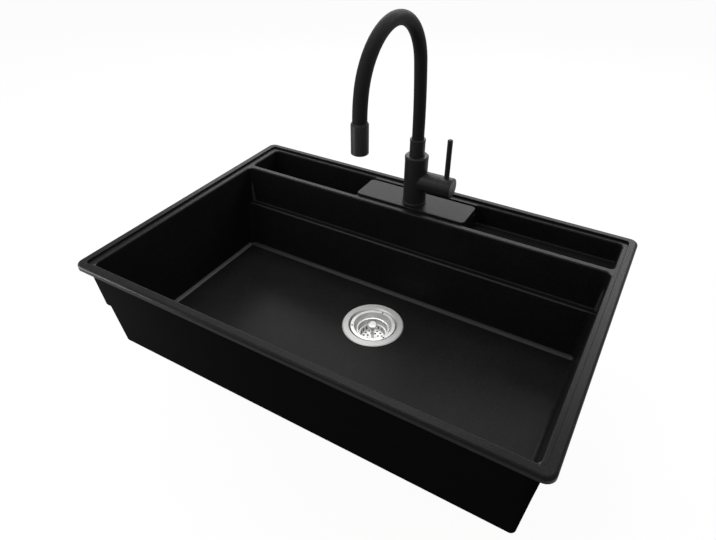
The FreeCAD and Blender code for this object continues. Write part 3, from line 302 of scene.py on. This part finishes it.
def finish(name, shade):
    """A material whose surface a function makes."""
    material = bpy.data.materials.new(name)
    material.use_nodes = True
    tree = material.node_tree
    tree.nodes.clear()
    output = tree.nodes.new("ShaderNodeOutputMaterial")
    tree.links.new(shade(Wire(tree)).socket, output.inputs["Surface"])
    return material


def surface(wire, feeds):
    """The principled shader with its sockets filled."""
    return wire.add("ShaderNodeBsdfPrincipled", None, feeds)


def near(value, places, half):
    """1 within half a width of either of two places, and 0 elsewhere."""
    first, second = places
    return (value - first).size().least((value - second).size()) < half


def bowl_edge_highlights(place):
    """How much painted highlight the bowl's rounded inner edges get: most along the floor's left end."""
    x, y, z = place.parts()
    fall = BOWL_TOP - z
    under = (SHELF_LEVEL - z).most(0.0)
    lower = z < SHELF_LEVEL
    left = fall * LEFT_SLOPE + MOUTH_LEFT
    right = MOUTH_RIGHT - fall * WALL_SLOPE - under * RIGHT_LOWER_SLOPE
    front = fall * WALL_SLOPE + lower * SHELF_WIDTH + MOUTH_FRONT
    back = MOUTH_BACK - fall * WALL_SLOPE - lower * SHELF_WIDTH - under * BACK_LOWER_SLOPE
    across = (x - left).least(right - x)
    along = (y - front).least(back - y)
    up = z - FLOOR_LEVEL
    inside = across.least(along).least(up).least(fall) > -WALL_SLACK
    end = (x - left + up) < EDGE_REACH
    sides = (across + along).least(along + up) < EDGE_REACH
    level = (z - SHELF_LEVEL).size() < LIP_HALF
    shelf = near(y, SHELF_LIPS, LIP_HALF).most(near(y, SHELF_ROOTS, ROOT_HALF))
    return (inside * end.most(sides * SIDE_SHARE)).most(level * shelf * SHELF_SHARE)


def outside_skin(wire, place):
    """1 on the walls below the rim that face away from the bowl, and 0 elsewhere."""
    x, y, z = place.parts()
    facing = wire.add("ShaderNodeTexCoord", out="Normal").parts()
    return (z < SKIN_TOP) * ((facing[0] * x + facing[1] * y) > SKIN_FACING)


def stone_finish(look):
    """Quartz sand in black resin: dark, with paler grains, a painted highlight along the bowl's rounded inner edges,
    and a duller skin on the outside walls.
    """

    def shade(wire):
        place = wire.add("ShaderNodeTexCoord", out="Object")
        cells = wire.add("ShaderNodeTexVoronoi", None, {"Vector": place, "Scale": 1.0 / look.grain}, out="Color")
        chance = wire.add("ShaderNodeSeparateColor", None, {"Color": cells})
        fine = wire.noise(place, look.grain * 0.45, 4.0)
        cloud = wire.noise(place, 0.05, 2.0)
        pale = (chance > 0.9) * 0.32 + fine * 0.2 * cloud
        sandy = pale.mixed(rgba(look.stone), rgba(look.stone_pale))
        # The bowl's rounded inner edges get a painted highlight: a paler base colour where they would catch the light
        tone = bowl_edge_highlights(place).mixed(sandy, rgba(look.stone_edge_highlight))
        rough = 0.27 + fine * 0.08 + cloud * 0.05
        normal = wire.bump(fine + chance * 0.5, look.grain * 0.22, 0.25)
        smooth = surface(wire, {"Base Color": tone, "Roughness": rough, "Normal": normal,
                                "Specular IOR Level": 0.06})
        dull = surface(wire, {"Base Color": rgba(look.stone), "Roughness": 0.8, "Normal": normal,
                              "Specular IOR Level": 0.0})
        return wire.add("ShaderNodeMixShader", None, {0: outside_skin(wire, place), 1: smooth, 2: dull})

    return finish("sink_stone", shade)


def coat_finish(look):
    """Satin black coat on metal: smooth, with a trace of orange peel."""

    def shade(wire):
        place = wire.add("ShaderNodeTexCoord", out="Object")
        peel = wire.noise(place, 0.0009, 2.0)
        haze = wire.noise(place, 0.012, 3.0)
        tone = haze.mixed(rgba(look.coat), rgba([value * 1.5 for value in look.coat]))
        normal = wire.bump(peel, 0.00008, 0.4)
        return surface(wire, {"Base Color": tone, "Roughness": 0.36 + haze * 0.1, "Normal": normal,
                              "Specular IOR Level": 0.14})

    return finish("tap_black_coat", shade)


def hose_finish(look):
    """Matte silicone with a fine skin."""

    def shade(wire):
        place = wire.add("ShaderNodeTexCoord", out="Object")
        skin = wire.noise(place, 0.0006, 3.0)
        dust = wire.noise(place, 0.02, 4.0)
        tone = dust.mixed(rgba(look.hose), rgba([value * 1.7 for value in look.hose]))
        normal = wire.bump(skin, 0.0001, 0.5)
        return surface(wire, {"Base Color": tone, "Roughness": 0.58 + dust * 0.12, "Normal": normal,
                              "Specular IOR Level": 0.07})

    return finish("hose_silicone", shade)


def turned_finish(name, tone, axis, rough, spread):
    """Metal with the fine rings that turning or pressing leaves round an upright axis."""

    def shade(wire):
        place = wire.add("ShaderNodeTexCoord", out="Object")
        x, y, up = place.parts()
        across = x - axis.x
        along = y - axis.y
        radius = (across * across + along * along) ** 0.5
        rings = wire.add("ShaderNodeTexNoise", {"noise_dimensions": "1D"},
                         {"W": (radius + up * 0.7) * 2600.0, "Scale": 1.0, "Detail": 2.0})
        smear = wire.noise(place, 0.018, 3.0)
        shade_of = (rings * 0.5 + smear * 0.5).mixed(rgba([value * 0.86 for value in tone]), rgba(tone))
        normal = wire.bump(rings, 0.00004, 0.5)
        return surface(wire, {"Base Color": shade_of, "Metallic": 1.0, "Roughness": rough + smear * spread,
                              "Normal": normal})

    return finish(name, shade)


def plated_finish(look):
    """Zinc plate: pale, cloudy and a little dull."""

    def shade(wire):
        place = wire.add("ShaderNodeTexCoord", out="Object")
        cloud = wire.noise(place, 0.006, 4.0)
        tone = cloud.mixed(rgba([value * 0.75 for value in look.plated]), rgba(look.plated))
        normal = wire.bump(wire.noise(place, 0.0007, 2.0), 0.00006, 0.4)
        return surface(wire, {"Base Color": tone, "Metallic": 1.0, "Roughness": 0.32 + cloud * 0.2,
                              "Normal": normal})

    return finish("plated_steel", shade)


def moulded_finish(name, tone, rough, grain, depth):
    """Moulded rubber or plastic with a fine skin and a little unevenness of shade."""

    def shade(wire):
        place = wire.add("ShaderNodeTexCoord", out="Object")
        skin = wire.noise(place, grain, 3.0)
        cloud = wire.noise(place, 0.015, 3.0)
        shade_of = cloud.mixed(rgba([value * 0.8 for value in tone]), rgba([min(1.0, value * 1.15) for value in tone]))
        return surface(wire, {"Base Color": shade_of, "Roughness": rough + skin * 0.12,
                              "Normal": wire.bump(skin, depth, 0.5)})

    return finish(name, shade)


def dress(nodes, material):
    """Puts one material on every slot of some nodes of the frame."""
    for name in nodes:
        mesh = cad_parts[name].data
        if not mesh.materials:
            mesh.materials.append(material)
        for index in range(len(mesh.materials)):
            mesh.materials[index] = material


def worn_by(node):
    """The material that a dressed node wears."""
    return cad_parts[node].data.materials[0]


def new_tree(name, sizes):
    """A geometry tree with named inputs: the tree, a wire in it and its inputs by name."""
    tree = bpy.data.node_groups.new(name, "GeometryNodeTree")
    tree.interface.new_socket("Geometry", in_out="INPUT", socket_type="NodeSocketGeometry")
    for label, kind in sizes:
        tree.interface.new_socket(label, in_out="INPUT", socket_type=f"NodeSocket{kind}")
    tree.interface.new_socket("Geometry", in_out="OUTPUT", socket_type="NodeSocketGeometry")
    source = tree.nodes.new("NodeGroupInput")
    inputs = {socket.name: Wire(tree, socket) for socket in source.outputs if socket.name}
    return tree, Wire(tree), inputs


def close_tree(tree, wire, made, material):
    """Ends a geometry tree: smooth faces, real geometry, one material."""
    smooth = wire.add("GeometryNodeSetShadeSmooth", None, {"Geometry": made})
    real = wire.add("GeometryNodeRealizeInstances", None, {"Geometry": smooth})
    painted = wire.add("GeometryNodeSetMaterial", None, {"Geometry": real, "Material": material})
    sink = tree.nodes.new("NodeGroupOutput")
    tree.links.new(painted.socket, sink.inputs[0])


def hose_tree():
    """A round hose along the path that the mesh gives."""
    tree, wire, size = new_tree("hose_along_path", (("Radius", "Float"), ("Step", "Float"), ("Material", "Material")))
    path = wire.add("GeometryNodeMeshToCurve", None, {"Mesh": size["Geometry"]})
    even = wire.add("GeometryNodeResampleCurve", {"mode": "LENGTH"}, {"Curve": path, "Length": size["Step"]})
    section = wire.add("GeometryNodeCurvePrimitiveCircle", None, {"Resolution": 48, "Radius": size["Radius"]})
    tube = wire.add("GeometryNodeCurveToMesh", None,
                    {"Curve": even, "Profile Curve": section, "Fill Caps": True})
    close_tree(tree, wire, tube, size["Material"])
    return tree


def thread_tree():
    """A screw thread: one ridge wound up a cylinder."""
    tree, wire, size = new_tree("screw_thread", (("Radius", "Float"), ("Ridge", "Float"), ("Pitch", "Float"),
                                                 ("Length", "Float"), ("Place", "Vector"), ("Material", "Material")))
    turns = size["Length"].maths("DIVIDE", size["Length"], size["Pitch"])
    helix = wire.add("GeometryNodeCurveSpiral", None,
                     {"Resolution": 72, "Rotations": turns, "Start Radius": size["Radius"],
                      "End Radius": size["Radius"], "Height": size["Length"]})
    upright = wire.add("GeometryNodeSetCurveNormal", {"mode": "Z_UP"}, {"Curve": helix})
    section = wire.add("GeometryNodeCurvePrimitiveCircle", None, {"Resolution": 4, "Radius": size["Ridge"]})
    ridge = wire.add("GeometryNodeCurveToMesh", None,
                     {"Curve": upright, "Profile Curve": section, "Fill Caps": True})
    moved = wire.add("GeometryNodeTransform", None, {"Geometry": ridge, "Translation": size["Place"]})
    close_tree(tree, wire, moved, size["Material"])
    return tree


def grow(name, tree, values, body, path=()):
    """Runs a geometry tree, on a path if it needs one, and keeps the result as a plain piece on a body."""
    seed = bpy.data.meshes.new(f"{name}_path")
    seed.from_pydata(path, [(step, step + 1) for step in range(len(path) - 1)], [])
    draft = bpy.data.objects.new(f"{name}_draft", seed)
    bpy.context.scene.collection.objects.link(draft)
    modifier = draft.modifiers.new("shape", "NODES")
    modifier.node_group = tree
    for item in tree.interface.items_tree:
        if item.in_out == "INPUT" and item.name in values:
            modifier[item.identifier] = values[item.name]
    graph = bpy.context.evaluated_depsgraph_get()
    made = bpy.data.meshes.new_from_object(draft.evaluated_get(graph), depsgraph=graph)
    made.name = name
    draft.modifiers.remove(modifier)
    bpy.data.objects.remove(draft)
    bpy.data.meshes.remove(seed)
    if not made.polygons:
        raise RuntimeError(f"{name} came out empty")
    piece = bpy.data.objects.new(name, made)
    bpy.context.scene.collection.objects.link(piece)
    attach(piece, body)
    return piece


def hose_path(sizes):
    """Points along the hose: up from the collar, a slow lean, the arch, a last bend and down into the nozzle."""
    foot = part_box("hose_sleeve")[0].z
    end = middle("nozzle_shell").y
    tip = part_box("nozzle_shell")[1].z - NOZZLE_SOCKET
    start = TAP_AXIS.y
    lean = sizes.lean_angle
    over = lean + sizes.arch_angle
    slow = sizes.lean_radius * (1 - math.cos(lean))
    last = sizes.drop_radius * (1 + math.cos(over))
    arch = (start - end - slow - last) / (math.cos(lean) - math.cos(over))
    points = [Vector((0, start, foot)), Vector((0, start, sizes.hose_rise))]
    bends = ((sizes.lean_radius, 0.0, lean), (arch, lean, over), (sizes.drop_radius, over, math.pi))
    for radius, first, final in bends:
        here = points[-1]
        centre = here - radius * Vector((0, math.cos(first), math.sin(first)))
        steps = max(6, round(math.degrees(final - first)))
        for step in range(1, steps + 1):
            turn = first + (final - first) * step / steps
            points.append(centre + radius * Vector((0, math.cos(turn), math.sin(turn))))
    points.append(Vector((0, end, tip)))
    return points


class SINK_OT_stone(Operator):
    """Give the basin its stone skin"""

    bl_idname = "sink.stone"
    bl_label = "Stone basin"

    def execute(self, context):
        dress(STONE_NODES, stone_finish(context.scene.sink_finishes))
        return {"FINISHED"}


class SINK_OT_tap(Operator):
    """Give the tap its satin black coat"""

    bl_idname = "sink.tap"
    bl_label = "Black tap"

    def execute(self, context):
        dress(COATED_NODES, coat_finish(context.scene.sink_finishes))
        return {"FINISHED"}


class SINK_OT_strainer(Operator):
    """Give the strainer its stainless steel"""

    bl_idname = "sink.strainer"
    bl_label = "Steel strainer"

    def execute(self, context):
        look = context.scene.sink_finishes
        dress(FLANGE_NODES, turned_finish("flange_steel", tuple(look.steel), DRAIN_AXIS, rough=0.46, spread=0.08))
        dress(BASKET_NODES, turned_finish("basket_steel", tuple(look.bright_steel), DRAIN_AXIS,
                                          rough=0.34, spread=0.1))
        return {"FINISHED"}


class SINK_OT_fittings(Operator):
    """Give the hidden fittings their brass, plate, rubber and plastic"""

    bl_idname = "sink.fittings"
    bl_label = "Hidden fittings"

    def execute(self, context):
        look = context.scene.sink_finishes
        dress(BRASS_NODES, turned_finish("shank_brass", tuple(look.brass), TAP_AXIS, rough=0.28, spread=0.2))
        dress(PLATED_NODES, plated_finish(look))
        moulded = (
            (RUBBER_NODES, "seal_rubber", look.rubber, 0.62, 0.0008, 0.00012),
            (DARK_PLASTIC_NODES, "dark_plastic", look.dark_plastic, 0.42, 0.0011, 0.0001),
            (PALE_PLASTIC_NODES, "pale_plastic", look.pale_plastic, 0.4, 0.0011, 0.00008),
            (TUBE_NODES, "water_tube", look.tube, 0.35, 0.0015, 0.00006),
        )
        for nodes, name, tone, rough, grain, depth in moulded:
            dress(nodes, moulded_finish(name, tuple(tone), rough, grain, depth))
        return {"FINISHED"}


class SINK_OT_hose(Operator):
    """Sweep the hose along its arch"""

    bl_idname = "sink.hose"
    bl_label = "Hose"

    def execute(self, context):
        sizes = context.scene.sink_sizes
        material = hose_finish(context.scene.sink_finishes)
        values = {"Radius": sizes.hose_radius, "Step": HOSE_STEP, "Material": material}
        hose = grow("hose_skin", hose_tree(), values, "spout", hose_path(sizes))
        dress(("hose_sleeve",), material)
        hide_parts("hose_sleeve")
        return {"FINISHED"}


class SINK_OT_threads(Operator):
    """Wind the threads of the outlet, the cup and the shank"""

    bl_idname = "sink.threads"
    bl_label = "Screw threads"

    def execute(self, context):
        sizes = context.scene.sink_sizes
        tree = thread_tree()
        outlet, lock_nut, shank, fixing_nut = (
            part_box(node)[0].z for node in ("drain_cup", "drain_lock_nut", "mounting_shank", "fixing_nut"))
        jobs = (
            ("outlet_thread", OUTLET_RADIUS, sizes.outlet_pitch, DRAIN_AXIS,
             outlet + THREAD_START, outlet + OUTLET_THREADED, "drain_cup", "steel"),
            ("cup_thread", CUP_RADIUS, sizes.cup_pitch, DRAIN_AXIS,
             outlet + OUTLET_LENGTH + CUP_START, lock_nut - CUP_NUT_GAP, "drain_cup", "steel"),
            ("shank_thread", SHANK_RADIUS, sizes.shank_pitch, TAP_AXIS,
             shank + THREAD_START, fixing_nut - SHANK_NUT_GAP, "mounting_shank", "brass"),
        )
        for name, radius, pitch, axis, low, high, node, slot in jobs:
            ridge = pitch * RIDGE_SHARE
            values = {"Radius": radius, "Ridge": ridge, "Pitch": pitch, "Length": high - low - 2 * ridge,
                      "Place": (axis.x, axis.y, low + ridge), "Material": worn_by(node)}
            grow(name, tree, values, "sink")
        return {"FINISHED"}


class SINK_OT_studio(Operator):
    """Set the floor, the light and the camera"""

    bl_idname = "sink.studio"
    bl_label = "Studio"

    def execute(self, context):
        studio = context.scene.sink_studio
        lay_floor(studio)
        light_world(context.scene)
        for name, place, size in LAMPS:
            hang_lamp(f"{name}_softbox", place, LAMP_SIGHT, size, getattr(studio, f"{name}_lamp"))
        place_camera(context.scene, studio)
        context.scene.view_settings.view_transform = "Standard"
        return {"FINISHED"}


def seen_rays(wire):
    """1 for rays from the camera, or by way of a mirror or glass, and 0 for the rest."""
    path = wire.add("ShaderNodeLightPath", out="Is Camera Ray")
    mirror = Wire(wire.tree, path.socket.node.outputs["Is Glossy Ray"])
    glass = Wire(wire.tree, path.socket.node.outputs["Is Transmission Ray"])
    return (path + mirror + glass) > 0.5


def lay_floor(studio):
    """A pale floor just under the waste outlet. It shows white and keeps a soft shadow."""
    level = CAD_BOX[0].z - FLOOR_GAP
    corners = [(x * FLOOR_HALF, y * FLOOR_HALF, level) for x, y in ((-1, -1), (1, -1), (1, 1), (-1, 1))]
    mesh = bpy.data.meshes.new("studio_floor")
    mesh.from_pydata(corners, [], [(0, 1, 2, 3)])
    floor = bpy.data.objects.new("studio_floor", mesh)
    bpy.context.scene.collection.objects.link(floor)

    def shade(wire):
        plain = wire.add("ShaderNodeBsdfDiffuse", None, {"Color": FLOOR_BOUNCE})
        paper = wire.add("ShaderNodeBsdfDiffuse", None, {"Color": rgba(studio.floor)})
        glow = wire.add("ShaderNodeEmission", None, {"Color": WHITE, "Strength": 1.0})
        shown = wire.add("ShaderNodeMixShader", None, {0: FLOOR_GLOW, 1: paper, 2: glow})
        return wire.add("ShaderNodeMixShader", None, {0: seen_rays(wire), 1: plain, 2: shown})

    mesh.materials.append(finish("studio_floor", shade))


def light_world(scene):
    """An even sky: white where it is seen, and dimmer where it only lights."""
    world = bpy.data.worlds.new("studio_sky")
    scene.world = world
    world.use_nodes = True
    tree = world.node_tree
    tree.nodes.clear()
    wire = Wire(tree)
    dim = wire.add("ShaderNodeBackground", None, {"Color": WHITE, "Strength": SKY_LIGHT})
    white = wire.add("ShaderNodeBackground", None, {"Color": WHITE, "Strength": 1.0})
    sky = wire.add("ShaderNodeMixShader", None, {0: seen_rays(wire), 1: dim, 2: white})
    output = tree.nodes.new("ShaderNodeOutputWorld")
    tree.links.new(sky.socket, output.inputs["Surface"])


def hang_lamp(name, place, target, size, power):
    """A soft box that faces a point."""
    light = bpy.data.lights.new(name, "AREA")
    light.shape = "RECTANGLE"
    light.size, light.size_y = size
    light.energy = power
    lamp = bpy.data.objects.new(name, light)
    lamp.location = place
    lamp.rotation_euler = (target - Vector(place)).to_track_quat("-Z", "Y").to_euler()
    bpy.context.scene.collection.objects.link(lamp)


def place_camera(scene, studio):
    """The camera, as high and as far round as the photograph's."""
    data = bpy.data.cameras.new("studio_camera")
    data.sensor_fit = "HORIZONTAL"
    data.sensor_width = 36.0
    data.lens = studio.lens
    data.clip_start = 0.01
    data.clip_end = 50.0
    camera = bpy.data.objects.new("studio_camera", data)
    tilt = Matrix.Rotation(studio.yaw, 3, "Z") @ Matrix.Rotation(math.pi / 2 - studio.pitch, 3, "X")
    turn = tilt @ Matrix.Rotation(studio.roll, 3, "Z")
    camera.location = studio.camera_place
    camera.rotation_euler = turn.to_euler()
    scene.collection.objects.link(camera)
    scene.camera = camera


class SINK_PT_looks(Panel):
    """The sink's operators and values"""

    bl_idname = "SINK_PT_looks"
    bl_label = "Granite sink"
    bl_space_type = "VIEW_3D"
    bl_region_type = "UI"
    bl_category = "Sink"

    def draw(self, context):
        layout = self.layout
        for maker in MAKERS:
            layout.operator(maker.bl_idname)
        for group in (context.scene.sink_finishes, context.scene.sink_sizes, context.scene.sink_studio):
            box = layout.box()
            for name in group.__annotations__:
                box.prop(group, name)


GROUPS = (("sink_finishes", SinkFinishes), ("sink_sizes", SinkSizes), ("sink_studio", SinkStudio))
MAKERS = (SINK_OT_stone, SINK_OT_tap, SINK_OT_strainer, SINK_OT_fittings, SINK_OT_hose, SINK_OT_threads,
          SINK_OT_studio)


def register():
    """Registers the value groups, the operators and the panel."""
    for name, group in GROUPS:
        bpy.utils.register_class(group)
        setattr(bpy.types.Scene, name, PointerProperty(type=group))
    for maker in (*MAKERS, SINK_PT_looks):
        bpy.utils.register_class(maker)


def unregister():
    """Takes everything that register() added away again."""
    for maker in (SINK_PT_looks, *reversed(MAKERS)):
        bpy.utils.unregister_class(maker)
    for name, group in reversed(GROUPS):
        delattr(bpy.types.Scene, name)
        bpy.utils.unregister_class(group)


def main():
    """Builds everything in order."""
    register()
    for maker in MAKERS:
        group, action = maker.bl_idname.split(".")
        getattr(getattr(bpy.ops, group), action)()


if __name__ == "__main__":
    main()
